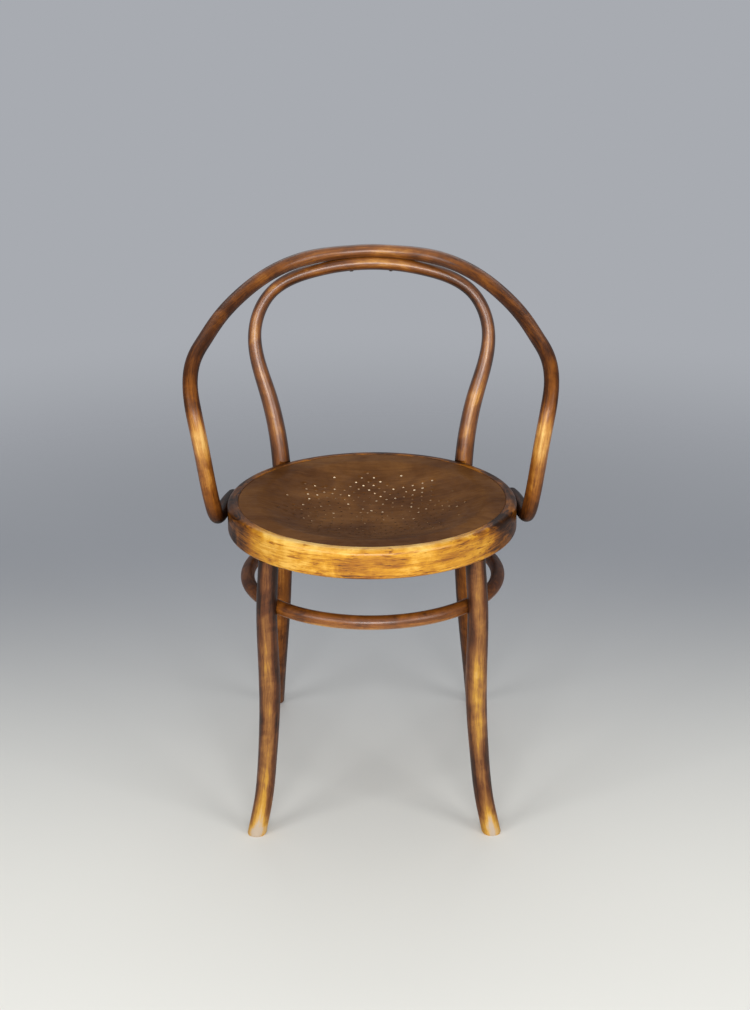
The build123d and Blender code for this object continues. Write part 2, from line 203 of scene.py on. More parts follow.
def smooth_line(points, first, last, widths):
    """Even samples of a spline with given end directions: places, directions, widths and distances.

    With chord lengths h and chord slopes d, inner slopes m satisfy
    h[i] m[i-1] + 2 (h[i-1] + h[i]) m[i] + h[i-1] m[i+1] = 3 (h[i] d[i-1] + h[i-1] d[i]).
    """
    points = np.asarray(points, dtype=float)
    h = np.linalg.norm(np.diff(points, axis=0), axis=1)
    d = np.diff(points, axis=0) / h[:, None]
    n = len(points)
    inner = np.arange(1, n - 1)
    system, wanted = np.eye(n), np.zeros((n, 3))
    system[inner, inner - 1] = h[1:]
    system[inner, inner] = 2 * (h[:-1] + h[1:])
    system[inner, inner + 1] = h[:-1]
    wanted[1:-1] = 3 * (h[1:, None] * d[:-1] + h[:-1, None] * d[1:])
    wanted[0], wanted[-1] = unit(first), unit(last)
    slopes = np.linalg.solve(system, wanted)
    marks = np.concatenate([[0], np.cumsum(h)])

    def at(t):
        """Hermite cubic of the stretch that holds each parameter, and its derivative."""
        k = np.clip(np.searchsorted(marks, t, side="right") - 1, 0, n - 2)
        s, span = ((t - marks[k]) / h[k])[:, None], h[k][:, None]
        p0, p1, m0, m1 = points[k], points[k + 1], slopes[k] * span, slopes[k + 1] * span
        spot = p0 + s * m0 + s**2 * (3 * (p1 - p0) - 2 * m0 - m1) + s**3 * (2 * (p0 - p1) + m0 + m1)
        way = m0 + 2 * s * (3 * (p1 - p0) - 2 * m0 - m1) + 3 * s**2 * (2 * (p0 - p1) + m0 + m1)
        return spot, unit(way)

    fine = np.linspace(0, marks[-1], SPLINE_SAMPLES)
    steps = np.linalg.norm(np.diff(at(fine)[0], axis=0), axis=1)
    run = np.concatenate([[0], np.cumsum(steps)])
    distance = np.linspace(0, run[-1], int(run[-1] / ROD_SPACING) + 1)
    t = np.interp(distance, run, fine)
    spots, ways = at(t)
    return spots, ways, np.interp(t, marks, widths), distance


def whole_from_half(spots, ways, widths, distance):
    """A symmetric rod from its half that starts at X = 0: the mirrored half runs backwards before it."""
    flip = np.array([-1, 1, 1])
    back = slice(None, 0, -1)
    return (
        np.concatenate([spots[back] * flip, spots]),
        np.concatenate([-ways[back] * flip, ways]),
        np.concatenate([widths[back], widths]),
        np.concatenate([-distance[back], distance]),
    )


def tube(spots, ways, widths, reference):
    """Tube points and angles: spot + width / 2 * (cos a * side + sin a * other), square to the way."""
    side = unit(np.cross(ways, reference))
    other = np.cross(side, ways)
    angle = np.linspace(0, 2 * math.pi, ROD_COLUMNS, endpoint=False)
    turn = np.cos(angle)[:, None] * side[:, None] + np.sin(angle)[:, None] * other[:, None]
    return spots[:, None] + turn * (widths / 2)[:, None, None], angle


def grain_of(distance, widths, angle, offset):
    """Grain of a rod in metres: its length, shortened to make streaks long, and two ways across.

    The offset gives each rod a stretch of grain of its own.
    """
    along = np.broadcast_to((distance[:, None] + offset) / GRAIN_STRETCH, (len(distance), len(angle)))
    across = (widths / 2)[:, None] * np.cos(angle), (widths / 2)[:, None] * np.sin(angle)
    return np.stack([along, *across], axis=-1) * MM


def grain_of_ring(turn, radius, layer):
    """Grain of a closed ring: a place on a shrunken circle, which has no seam, and the wood's layer."""
    circle = np.stack([np.cos(turn), np.sin(turn)]) * radius / GRAIN_STRETCH
    return np.stack(np.broadcast_arrays(circle[0][:, None], circle[1][:, None], layer), axis=-1) * MM


def cut_level(grid, spots, ways, distance_to_end, reach):
    """Shears the last rings of a leg so that the end lies level: each point slides along the leg."""
    share = np.clip(1 - distance_to_end / reach, 0, 1)[:, None]
    slide = -(grid[..., 2] - spots[:, None, 2]) / ways[:, None, 2] * share
    return grid + slide[..., None] * ways[:, None]


def pushed_off_ring(grid, radius, thickness, middle):
    """Points inside a round ring's wood are moved straight out to its surface, as in a cut housing."""
    x, y, z = np.moveaxis(grid - middle, -1, 0)
    reach = np.hypot(x, y)
    out, up = reach - radius, z
    depth = np.maximum(np.hypot(out, up), TINY)
    grow = np.maximum(thickness / 2 / depth, 1)
    scale = (radius + out * grow) / np.maximum(reach, TINY)
    return np.stack([x * scale, y * scale, up * grow], axis=-1) + middle


def pushed_off_seat(grid):
    """Points inside the seat ring's block are moved out to its side, which leaves a flat or a notch."""
    reach = np.hypot(grid[..., 0], grid[..., 1])
    beside = (grid[..., 2] > seat_underside) & (grid[..., 2] < seat_height)
    grow = np.where(beside, np.maximum((seat_radius + joint_gap) / np.maximum(reach, TINY), 1), 1)
    return grid * np.stack([grow, grow, np.ones_like(grow)], axis=-1)


def worn_tip(widths, distance_to_end):
    """Widths of a rod whose end is rounded off over a short length c: w - 1.2 c (1 - s)^2."""
    share = np.clip(distance_to_end / TIP_CHAMFER, 0, 1)
    return widths - TIP_DEPTH * TIP_CHAMFER * (1 - share) ** 2


def painted_edge_shade(grid, spots, bound, dark, bright):
    """Painted shade and a painted highlight as a loss of a rod's tone: painted shade dark (b - |f|) on the
    flanks, and a painted highlight that gives back bright (f - b) on the front.

    f is the cosine between a face and the way to the front and a little above, where the camera and the
    front lamp stand, and b the bound between flank and front. The back of a rod keeps its tone, because
    |f| is large there too.
    """
    facing = unit(grid - spots[:, None]) @ LIT_FRONT_WAY
    flank = np.clip(bound - np.abs(facing), 0, DEEPEST_EDGE)
    return dark * flank - bright * np.clip(facing - bound, 0, 1 - bound)


# %% [markdown]
# ## Finishes
# Old shellac on beech isn't one colour. It is near black in the corners that no hand reaches, brown where
# the stain has held, and amber to yellow where it is worn thin. So each piece carries a `tone` from 0 to
# 1 for its wear, set along its length, and on the rods and legs also painted shade on the flanks and, on
# the rods, a painted highlight down the front; a colour ramp turns tone into colour. Long noise along the
# grain adds streaks, and finer noise lifts a shallow bump. A second value, `polish`, is the weight of the
# clear coat: high where hands and clothes have rubbed the wood to a shine.

# %% Finish helpers
def colour(red, green, blue):
    """Screen colour from 0 to 255 as linear light: ((c + 0.055) / 1.055) ^ 2.4 above the dark toe."""
    c = np.array([red, green, blue]) / 255
    linear = np.where(c > 0.04045, ((c + 0.055) / 1.055) ** 2.4, c / 12.92)
    return (*linear.tolist(), 1.0)


class Finish:
    """A material and short ways to add and join its nodes."""

    def __init__(self, name):
        self.material = bpy.data.materials.new(name)
        self.material.use_nodes = True
        self.tree = self.material.node_tree
        self.shader = self.tree.nodes["Principled BSDF"]

    def node(self, kind, **settings):
        """A new node of a kind, with its settings."""
        made = self.tree.nodes.new("ShaderNode" + kind)
        for key, value in settings.items():
            setattr(made, key, value)
        return made

    def join(self, source, target):
        """A link from an output to an input."""
        self.tree.links.new(source, target)

    def attribute(self, name):
        """Node that reads a value stored on the mesh."""
        return self.node("Attribute", attribute_name=name)

    def noise(self, vector, scale, detail=3.0, roughness=0.55, distortion=0.0):
        """Noise on a vector that is first stretched by one scale or three."""
        stretch = self.node("Mapping", vector_type="POINT")
        stretch.inputs["Scale"].default_value = np.broadcast_to(scale, 3).tolist()
        self.join(vector, stretch.inputs["Vector"])
        made = self.node("TexNoise")
        made.inputs["Scale"].default_value = 1.0
        made.inputs["Detail"].default_value = detail
        made.inputs["Roughness"].default_value = roughness
        made.inputs["Distortion"].default_value = distortion
        self.join(stretch.outputs["Vector"], made.inputs["Vector"])
        return made.outputs["Fac"]

    def spread(self, value, low, high, to_low=0.0, to_high=1.0, kind="LINEAR"):
        """Value stretched from one range to another, held at its ends."""
        made = self.node("MapRange", clamp=True, interpolation_type=kind)
        for key, number in zip(("From Min", "From Max", "To Min", "To Max"), (low, high, to_low, to_high)):
            made.inputs[key].default_value = number
        self.join(value, made.inputs["Value"])
        return made.outputs["Result"]

    def math(self, kind, first, second):
        """Sum, product or the like of two outputs or numbers."""
        made = self.node("Math", operation=kind)
        for socket, value in zip(made.inputs, (first, second)):
            if isinstance(value, (int, float)):
                socket.default_value = value
            else:
                self.join(value, socket)
        return made.outputs["Value"]

    def ramp(self, value, stops):
        """Colour ramp with one stop per (place, colour)."""
        made = self.node("ValToRGB")
        stretch = made.color_ramp
        while len(stretch.elements) < len(stops):
            stretch.elements.new(1.0)
        for element, (spot, shade) in zip(stretch.elements, stops):
            element.position = spot
            element.color = shade
        self.join(value, made.inputs["Fac"])
        return made.outputs["Color"]

    def bump(self, height, strength, distance):
        """Shallow relief from a height, into the shader's normal."""
        made = self.node("Bump")
        made.inputs["Strength"].default_value = strength
        made.inputs["Distance"].default_value = distance
        self.join(height, made.inputs["Height"])
        self.join(made.outputs["Normal"], self.shader.inputs["Normal"])


# %% [markdown]
# Four noises make the wood: long streaks and thin dark lines on the grain coordinates, broad patches on the
# place in the chair, and pores. Their scales are in waves per metre. Three ramps serve the bent rods, the
# legs and the seat ring, whose wear differs most.

# %% Wood finishes
STREAK_SCALE, LINE_SCALE, PATCH_SCALE, PORE_SCALE = 190, 430, 17, 1500
FLECK = 0.04
WEAR_RANGE = 0.3
BUMP_STRENGTH, BUMP_DISTANCE = 0.22, 0.0005


def shellacked_beech(name, stops, streak, line, patch, gloss):
    """Beech under worn shellac: tone plus streaks, thin dark lines and patches picks the colour."""
    finish = Finish(name)
    grain = finish.attribute("grain").outputs["Vector"]
    tone = finish.attribute("tone").outputs["Fac"]
    spot = finish.node("TexCoord").outputs["Object"]
    long_noise = finish.noise(grain, STREAK_SCALE, detail=5, roughness=0.62, distortion=0.5)
    line_noise = finish.noise(grain, LINE_SCALE, detail=3, roughness=0.6, distortion=0.8)
    patch_noise = finish.noise(spot, PATCH_SCALE, detail=5, roughness=0.62, distortion=0.6)
    pores = finish.noise(grain, PORE_SCALE, detail=2, roughness=0.5)
    streaks = finish.spread(long_noise, 0.34, 0.66, -streak, streak)
    lines = finish.spread(line_noise, 0.3, 0.46, -line, 0.0)
    patches = finish.spread(patch_noise, 0.36, 0.64, -patch, patch)
    flecks = finish.spread(pores, 0.35, 0.65, -FLECK, FLECK)
    wear = finish.math("ADD", finish.math("ADD", streaks, lines), finish.math("ADD", patches, flecks))
    shade = finish.math("ADD", tone, wear)
    finish.join(finish.ramp(shade, stops), finish.shader.inputs["Base Color"])
    roughness = finish.spread(wear, -WEAR_RANGE, WEAR_RANGE, gloss[1], gloss[0])
    finish.join(roughness, finish.shader.inputs["Roughness"])
    finish.shader.inputs["Specular IOR Level"].default_value = 0.06
    finish.join(finish.attribute("polish").outputs["Fac"], finish.shader.inputs["Coat Weight"])
    finish.shader.inputs["Coat Roughness"].default_value = 0.32
    finish.bump(finish.math("ADD", pores, streaks), BUMP_STRENGTH, BUMP_DISTANCE)
    return finish.material


WARM = [
    (0.0, colour(30, 15, 6)),
    (0.25, colour(76, 39, 12)),
    (0.5, colour(126, 72, 22)),
    (0.72, colour(184, 126, 52)),
    (1.0, colour(232, 190, 112)),
]
bent_wood = shellacked_beech("bent_wood", WARM, streak=0.1, line=0.15, patch=0.12, gloss=(0.36, 0.5))
LEGS = [
    (0.0, colour(38, 20, 12)),
    (0.25, colour(90, 50, 25)),
    (0.5, colour(138, 92, 46)),
    (0.72, colour(184, 136, 50)),
    (0.84, colour(194, 152, 84)),
    (1.0, colour(178, 160, 140)),
]
leg_wood = shellacked_beech("leg_wood", LEGS, streak=0.12, line=0.14, patch=0.14, gloss=(0.36, 0.52))
SEAT = [
    (0.0, colour(38, 20, 8)),
    (0.22, colour(84, 47, 16)),
    (0.45, colour(148, 88, 14)),
    (0.7, colour(200, 140, 30)),
    (1.0, colour(236, 190, 92)),
]
ring_wood = shellacked_beech("ring_wood", SEAT, streak=0.14, line=0.38, patch=0.16, gloss=(0.32, 0.46))
print("finishes:", [m.name for m in (bent_wood, leg_wood, ring_wood)])

# %% [markdown]
# ## Seat ring
# The ring is a strip of beech bent into a circle, rounded on top and rebated inside for the panel. Its
# section is a short closed line, and turning that line about the seat's axis gives the surface: the grid
# has one row for each angle and one column for each point of the section. The front is rubbed to yellow,
# the sides stay dark, and at the back a thin painted highlight runs along the top of the inner rim.

# %% Seat ring
RING_ROWS = 720
DARK_TONE = 0.19
FRONT_START, FRONT_BLEND = 0.5, 0.26
glint_line_radius, glint_line_width, glint_line_floor = seat_radius - rim_width + 1.2, 1.2, seat_height - 6
tone_levels = [423, 427, 434, 446, 456, 464, 466]
tone_of_level = [0.46, 0.66, 0.7, 0.7, 0.7, 0.82, 0.88]


def rounded(corner, start, end, radius, count):
    """Quarter circle from one angle to another round a centre: centre + r (cos a, sin a)."""
    angle = np.radians(np.linspace(start, end, count))
    return np.stack([corner[0] + radius * np.cos(angle), corner[1] + radius * np.sin(angle)], axis=1)


def ring_section():
    """Closed line of (radius, height) points round the ring's section, from the inner foot outwards."""
    panel_low = seat_height - panel_recess - panel_thickness
    inner, rebate = seat_radius - ring_width, seat_radius - rim_width
    top, foot, rim, lip, edge = 8.5, 4.0, 1.2, 0.8, 1.0
    side_low, side_high = seat_underside + foot + 4, seat_height - top - 4
    runs = [
        rounded((inner + lip, seat_underside + lip), 180, 270, lip, 4),
        rounded((seat_radius - foot, seat_underside + foot), 270, 360, foot, 7),
        np.linspace((seat_radius, side_low), (seat_radius, side_high), 7),
        rounded((seat_radius - top, seat_height - top), 0, 90, top, 11),
        rounded((rebate + rim, seat_height - rim), 90, 180, rim, 5),
        [(rebate, panel_low + edge), (rebate, panel_low)],
        [(inner + edge, panel_low), (inner, panel_low - edge)],
    ]
    return np.concatenate(runs)


section = ring_section()
turn = np.linspace(0, 2 * math.pi, RING_ROWS, endpoint=False) + math.pi / 2
reach, level = section[:, 0], section[:, 1]
ring_grid = np.stack(
    [
        np.cos(turn)[:, None] * reach,
        np.sin(turn)[:, None] * reach,
        np.broadcast_to(level, (RING_ROWS, len(level))),
    ],
    axis=-1,
)
front_share = np.clip(-np.sin(turn), 0, 1)[:, None]
back_share = np.clip(np.sin(turn), 0, 1)[:, None]
rubbed = np.clip((front_share - FRONT_START) / FRONT_BLEND, 0, 1)
height_tones = np.interp(level, tone_levels, tone_of_level)
# A painted highlight: a thin light line along the top of the inner rim, at the back only, where the edge
# catches the light.
painted_rim_glint = np.exp(-(((reach - glint_line_radius) / glint_line_width) ** 2)) * (level > glint_line_floor)
ring_tone = DARK_TONE + rubbed * (height_tones - DARK_TONE) + 0.24 * painted_rim_glint * back_share
ring_polish = np.broadcast_to(0.15 + 0.6 * rubbed, ring_tone.shape)
ring_layer = 0.9 * level + 0.45 * reach
ring_grain = grain_of_ring(turn, seat_radius, ring_layer)
seat_ring = piece_from_grid(
    "seat_ring_wood",
    place(ring_grid),
    True,
    {"grain": ring_grain, "tone": ring_tone, "polish": ring_polish},
    "seat_ring",
)
seat_ring.data.materials.append(ring_wood)

# %% [markdown]
# ## Leg ring
# A thinner rod closed into a circle ties the four legs. It is a tube round a circle, so the circle's own
# directions serve as the path and the grid is closed both ways.

# %% Leg ring
leg_ring_radius, leg_ring_thickness = 184.6, 20.3
leg_ring_drop = 75.0
leg_ring_level = seat_underside - leg_ring_drop
leg_ring_middle = np.array([0.0, 0.5, leg_ring_level])
level_line = np.zeros(RING_ROWS)
spots = np.stack([np.cos(turn), np.sin(turn), level_line], axis=1) * leg_ring_radius + leg_ring_middle
ways = np.stack([-np.sin(turn), np.cos(turn), level_line], axis=1)
widths = np.full(RING_ROWS, leg_ring_thickness)
leg_ring_grid, angle = tube(spots, ways, widths, np.array([0, 0, 1.0]))
below = np.clip(-np.sin(angle) - 0.1, 0, 1)
leg_ring_tone = 0.3 + 0.08 * front_share**2 + 0.4 * front_share**2 * below
leg_ring_polish = np.broadcast_to(0.2 + 0.8 * front_share**4, leg_ring_tone.shape)
layer = leg_ring_thickness / 2 * (0.83 * np.sin(angle) + 0.56 * np.cos(angle))
leg_ring_grain = grain_of_ring(turn, leg_ring_radius, layer)
leg_ring = piece_from_grid(
    "leg_ring_wood",
    place(leg_ring_grid),
    True,
    {"grain": leg_ring_grain, "tone": leg_ring_tone, "polish": leg_ring_polish},
    "leg_ring",
)
leg_ring.data.materials.append(bent_wood)

# %% [markdown]
# ## Rear legs and back hoop
# One rod runs from a rear foot up past the seat, round the back hoop and down to the other foot. Only the
# right half is drawn, because the left is its mirror image. Where the legs pass the seat ring they are
# notched, so points that fall inside the ring are moved out to its side.

# %% Rear frame
REAR_GRAIN = 5000.0
crown_half = 30.0
rear_spread, rear_seat_y, rear_ring_y = 139.4, 166.05, 154.73
hoop_height, hoop_lean, hoop_crown_radius = 317.2, math.radians(10.5), 343.0
hoop_width = 20.8


def hoop_point(x, height):
    """Point of the leaning hoop at a height above the middle of the seat ring."""
    return (x, rear_seat_y + height * math.tan(hoop_lean), seat_middle + height)


def hoop_top(x):
    """Point of the hoop's round top: it falls by x^2 / (2 r) from the middle."""
    return hoop_point(x, hoop_height - x**2 / (2 * hoop_crown_radius))


rear_points = [
    hoop_top(0),
    hoop_top(crown_half),
    hoop_top(84),
    hoop_point(153.3, 0.86 * hoop_height),
    hoop_point(177.5, 0.69 * hoop_height),
    hoop_point(158.6, 0.378 * hoop_height),
    (rear_spread, rear_seat_y, seat_middle),
    (rear_spread, rear_ring_y, leg_ring_level),
    (144.2, 166.0, 0.7 * leg_ring_level),
    (155.9, 219.0, 0.3 * leg_ring_level),
    (164.6, 284.0, 0.0),
]
rear_widths = [hoop_width] * 3 + [19.2, 20, 25.4, 28.4, 28.4, 28.4, 26.45, 24.5]
rear_end = np.subtract(rear_points[-1], rear_points[-2])
spots, ways, widths, distance = whole_from_half(*smooth_line(rear_points, (1, 0, 0), rear_end, rear_widths))
to_end = distance[-1] - np.abs(distance)
widths = worn_tip(widths, to_end)
rear_grid, angle = tube(spots, ways, widths, np.array([0, 1.0, 0]))
rear_grid = cut_level(rear_grid, spots, ways, to_end, FOOT_CUT)
rear_grid = pushed_off_seat(rear_grid)
rear_grid = pushed_off_ring(rear_grid, leg_ring_radius, leg_ring_thickness + 2 * joint_gap, leg_ring_middle)
rear_marks = [0, 90, 170, 250, 330, 400, 450, 490, 540, 600, 800, 1000]
rear_tones = [0.42, 0.36, 0.3, 0.38, 0.46, 0.38, 0.26, 0.16, 0.22, 0.36, 0.42, 0.4]
rear_tone = np.interp(np.abs(distance), rear_marks, rear_tones)[:, None]
# Painted shade on the flanks and a painted highlight down the front, as the front lamp would give.
rear_tone = rear_tone - painted_edge_shade(rear_grid, spots, bound=0.75, dark=0.45, bright=0.6)
rear_shine = np.interp(spots[:, 2], [440, 520], [0.2, 1.0])
rear_polish = np.broadcast_to(rear_shine[:, None], rear_tone.shape)
rear_frame = piece_from_grid(
    "rear_frame_wood",
    place(rear_grid),
    False,
    {"grain": grain_of(distance, widths, angle, REAR_GRAIN), "tone": rear_tone, "polish": rear_polish},
    "rear_frame",
)
rear_frame.data.materials.append(bent_wood)
print("half of the rear rod is", round(distance[-1]), "mm long")

# %% [markdown]
# ## Top rail and arms
# The second long rod lies on the top of the hoop, comes forward down a slope, turns down at the front
# in a wide bend and runs back along the seat ring, where screws hold it. Seen from the side the wide bend
# is one arc: it starts on the slope of the rail and ends on the line to the lower corner.

# %% Path of the arm bow
arm_half_width, arm_front, rail_run, rail_slope = 253.6, -71.0, 311.0, math.radians(21.4)
crown_tilt, crown_flat = math.radians(2), 1.8
crown_width, rail_width, upright_width, arm_end_width = 20.0, 21.5, 22.8, 21.2
front_radius, lower_radius = 110.0, 28.0
lower_corner_out, lower_corner_y = 14.2, -34.0
arm_flat, arm_end_turn, arm_end_points = 3.0, (8, 19), 5
crown_reach = (hoop_width + crown_width) / 2 - crown_flat
crown_step = crown_reach * np.array([0, math.sin(crown_tilt), math.cos(crown_tilt)])
crown = np.add(hoop_top(0), crown_step)
rail_shares = np.array([(0.372, 0.052), (0.553, 0.142), (0.752, 0.333), (0.869, 0.51), (0.945, 0.68)])
bend_shares = np.array([0.965, 0.994, 0.999, 0.982, 0.959, 0.942])


def rail_points(shares):
    """Points of the sloping rail from shares of its half width and of its run to the front."""
    x, run = shares[:, 0] * arm_half_width, shares[:, 1] * rail_run
    return np.stack([x, crown[1] - run, crown[2] - run * math.tan(rail_slope)], axis=1)


def front_bend(shares, corner):
    """Points of the wide front bend.

    In the side view its centre lies square below the rail's line. With f the distance from the centre to
    the lower corner, the arc ends where the line to that corner touches it: at asin(r / f) past the corner.
    """
    y = arm_front + front_radius
    z = crown[2] - (crown[1] - y) * math.tan(rail_slope) - front_radius / math.cos(rail_slope)
    far = math.hypot(y - corner[1], z - corner[2])
    lean = math.asin(front_radius / far) - math.atan2(y - corner[1], z - corner[2])
    turn = np.linspace(rail_slope, math.pi / 2 + lean, len(shares))
    return np.stack(
        [shares * arm_half_width, y - front_radius * np.sin(turn), z + front_radius * np.cos(turn)], axis=1
    )


def bend(before, corner, after, radius):
    """Start, middle and end of the arc that rounds a corner: it touches both lines at r tan(half turn)."""
    back, on = unit(before - corner), unit(after - corner)
    half_turn = (math.pi - math.acos(np.dot(back, on))) / 2
    inward = unit(back + on) * (radius / math.cos(half_turn) - radius)
    reach = radius * math.tan(half_turn)
    return np.array([corner + back * reach, corner + inward, corner + on * reach])


def around_seat(radius, degrees):
    """Points at angles round the seat's axis, level with the middle of the ring."""
    angle = np.radians(degrees)
    level = np.full(len(angle), seat_middle)
    return np.stack([radius * np.cos(angle), radius * np.sin(angle), level], axis=1)


lower_corner = np.array([seat_radius + lower_corner_out, lower_corner_y, seat_middle])
arm_end_angles = np.linspace(*arm_end_turn, arm_end_points)
arm_end = around_seat(seat_radius + arm_end_width / 2 - arm_flat, arm_end_angles)
wide_bend = front_bend(bend_shares, lower_corner)
arm_points = np.concatenate(
    [
        [crown, np.add(hoop_top(crown_half), crown_step)],
        rail_points(rail_shares),
        wide_bend,
        bend(wide_bend[-1], lower_corner, arm_end[0], lower_radius),
        arm_end,
    ]
)
arm_widths = [crown_width] * 2 + [rail_width] * 8 + [upright_width] * 4 + [arm_end_width] * 7
print("arm bow passes", len(arm_points), "points on each side")

# %% [markdown]
# The direction that sets the start of each circle leans from up to outwards along the way, because no
# single direction is square enough to the whole rod.

# %% Tube of the arm bow
lean_start, lean_run = 200.0, 220.0
last_turn = math.radians(arm_end_turn[1])
last_way = (-math.sin(last_turn), math.cos(last_turn), 0)
spots, ways, widths, distance = whole_from_half(*smooth_line(arm_points, (1, 0, 0), last_way, arm_widths))
from_crown = np.abs(distance)
widths = worn_tip(widths, from_crown[-1] - from_crown)
lean = np.clip((from_crown - lean_start) / lean_run, 0, 1)[:, None]
lean = lean * lean * (3 - 2 * lean)
outwards = np.stack([np.sign(spots[:, 0]), np.zeros(len(spots)), np.zeros(len(spots))], axis=1)
arm_grid, angle = tube(spots, ways, widths, outwards * lean + np.array([0, 0, 1.0]) * (1 - lean))
arm_grid = pushed_off_seat(arm_grid)

# %% [markdown]
# The rail is let over the top of the hoop by a shallow groove. In the hoop's own leaning plane its top is
# an arc, so the groove is a ring again, only tipped, and the same push that makes the housings serves.

# %% Groove and finish of the arm bow
ARM_GRAIN = 9000.0
groove_reach = 60.0
lean_cos, lean_sin = math.cos(hoop_lean), math.sin(hoop_lean)
hoop_axes = np.array([[1, 0, 0], [0, lean_sin, lean_cos], [0, -lean_cos, lean_sin]])
groove_middle = np.array(hoop_top(0)) - hoop_axes[1] * hoop_crown_radius
near_crown = (from_crown < groove_reach)[:, None, None]
tipped = (arm_grid - groove_middle) @ hoop_axes.T
grooved = pushed_off_ring(tipped, hoop_crown_radius, hoop_width + 4 * joint_gap, np.zeros(3))
arm_grid = np.where(near_crown, grooved @ hoop_axes + groove_middle, arm_grid)
arm_levels = [444, 460, 480, 500, 530, 560, 590, 605, 625, 655, 690, 720, 760, 781]
arm_tones = [0.16, 0.2, 0.32, 0.42, 0.54, 0.68, 0.74, 0.56, 0.36, 0.26, 0.3, 0.34, 0.36, 0.4]
arm_shine = [0.15, 0.2, 0.2, 0.3, 0.6, 1.0, 1.0, 0.7, 0.2, 0.15, 0.2, 0.25, 0.5, 1.0]
arm_tone = np.interp(spots[:, 2], arm_levels, arm_tones)[:, None]
# Painted shade on the flanks and a painted highlight down the front, as the front lamp would give.
arm_tone = arm_tone - painted_edge_shade(arm_grid, spots, bound=0.7, dark=0.3, bright=0.4)
arm_polish = np.broadcast_to(np.interp(spots[:, 2], arm_levels, arm_shine)[:, None], arm_tone.shape)
arm_bow = piece_from_grid(
    "arm_bow_wood",
    place(arm_grid),
    False,
    {"grain": grain_of(distance, widths, angle, ARM_GRAIN), "tone": arm_tone, "polish": arm_polish},
    "arm_bow",
)
arm_bow.data.materials.append(bent_wood)
print("half of the arm bow is", round(distance[-1]), "mm long")

# %% [markdown]
# ## Front legs
# Each front leg is tenoned into the seat ring, carries the leg ring in a housing and turns out at the
# foot. The second leg is the mirror image of the first, with its own stretch of grain so that the two
# don't match streak for streak.

# %% Front legs
LEG_GRAIN = {"left": 13000.0, "right": 16000.0}
front_turn, front_top_reach = math.radians(47.8 - 90), 196.0
width_at_ring, housing_depth = 29.4, 7.5
front_way = np.array([math.cos(front_turn), math.sin(front_turn), 0])
front_top = front_top_reach * front_way + np.array([0, 0, seat_underside])
at_ring_reach = leg_ring_radius + leg_ring_thickness / 2 + width_at_ring / 2 - housing_depth
at_ring = at_ring_reach * front_way + leg_ring_middle
front_points = [
    front_top,
    at_ring,
    (148.1, -141.0, 0.66 * leg_ring_level),
    (154.2, -145.0, 0.33 * leg_ring_level),
    (161.5, -150.0, 0.145 * leg_ring_level),
    (172.0, -156.5, 0.0),
]
front_widths = [28.6, width_at_ring, 31, 27.6, 26.8, 27]
front_start, front_end = at_ring - front_top, np.subtract(front_points[-1], front_points[-2])
spots, ways, widths, distance = smooth_line(front_points, front_start, front_end, front_widths)
to_end = distance[-1] - distance
widths = worn_tip(widths, to_end)
leg_grid, angle = tube(spots, ways, widths, np.array([0, 1.0, 0]))
leg_grid = cut_level(leg_grid, spots, ways, to_end, FOOT_CUT)
leg_grid = cut_level(leg_grid, spots, ways, distance, TOP_CUT)
leg_grid = pushed_off_ring(leg_grid, leg_ring_radius, leg_ring_thickness + 2 * joint_gap, leg_ring_middle)
leg_marks = [0, 60, 110, 170, 230, 300, 350, 390, 415]
leg_tones = {
    "left": [0.22, 0.26, 0.34, 0.48, 0.46, 0.44, 0.52, 0.7, 1.1],
    "right": [0.3, 0.42, 0.5, 0.62, 0.68, 0.5, 0.4, 0.64, 1.1],
}
# Painted shade: each leg's flanks, seen from the front, lose tone, while a pale stripe a little off the
# middle keeps it, as a round leg lit from the front would look.
lit_side_shift, pale_share, flank_loss, flank_limit = 0.1, 0.2, 0.6, 0.6
aside = np.abs(unit(leg_grid - spots[:, None])[..., 0] - lit_side_shift)
flank = flank_loss * np.clip(aside - pale_share, 0, flank_limit)
leg_shine = np.interp(distance, [0, 330, 415], [0.45, 0.45, 0.1])
leg_polish = np.broadcast_to(leg_shine[:, None], flank.shape)
for side, sign in (("left", -1), ("right", 1)):
    tone = np.interp(distance, leg_marks, leg_tones[side])[:, None] - flank
    grain = grain_of(distance, widths, angle, LEG_GRAIN[side])
    leg = piece_from_grid(
        f"front_leg_{side}_wood",
        place(leg_grid * np.array([sign, 1, 1])),
        False,
        {"grain": grain, "tone": tone, "polish": leg_polish},
        f"front_leg_{side}",
    )
    leg.data.materials.append(leg_wood)

# %% [markdown]
# ## Seat panel
# The panel is thin plywood, stained dark and pressed to an even bowl, with a star of small punched
# holes. The CAD model already has every hole, and holes are awkward to grid, so a merged copy of that
# mesh is used. The walls of the holes show pale bare wood, so they take a second material.

# %% Panel finish
panel = Finish("panel_wood")
spot = panel.node("TexCoord").outputs["Object"]
fibre = panel.noise(spot, (18, 260, 60), detail=5, roughness=0.62, distortion=0.6)
mottle = panel.noise(spot, 11, detail=5, roughness=0.64, distortion=0.4)
rubs = panel.noise(spot, 70, detail=4, roughness=0.6, distortion=0.4)
streaks = panel.spread(fibre, 0.3, 0.7, -0.14, 0.14)
shade = panel.math("ADD", streaks, panel.spread(mottle, 0.32, 0.68, 0.16, 0.84))
PANEL = [
    (0.0, colour(66, 36, 14)),
    (0.5, colour(98, 62, 30)),
    (1.0, colour(128, 86, 45)),
]
panel.join(panel.ramp(shade, PANEL), panel.shader.inputs["Base Color"])
panel.join(panel.spread(rubs, 0.35, 0.65, 0.34, 0.5), panel.shader.inputs["Roughness"])
panel.shader.inputs["Specular IOR Level"].default_value = 0.025
panel.bump(fibre, 0.12, 0.0005)
print("panel finish:", len(panel.tree.nodes), "nodes")
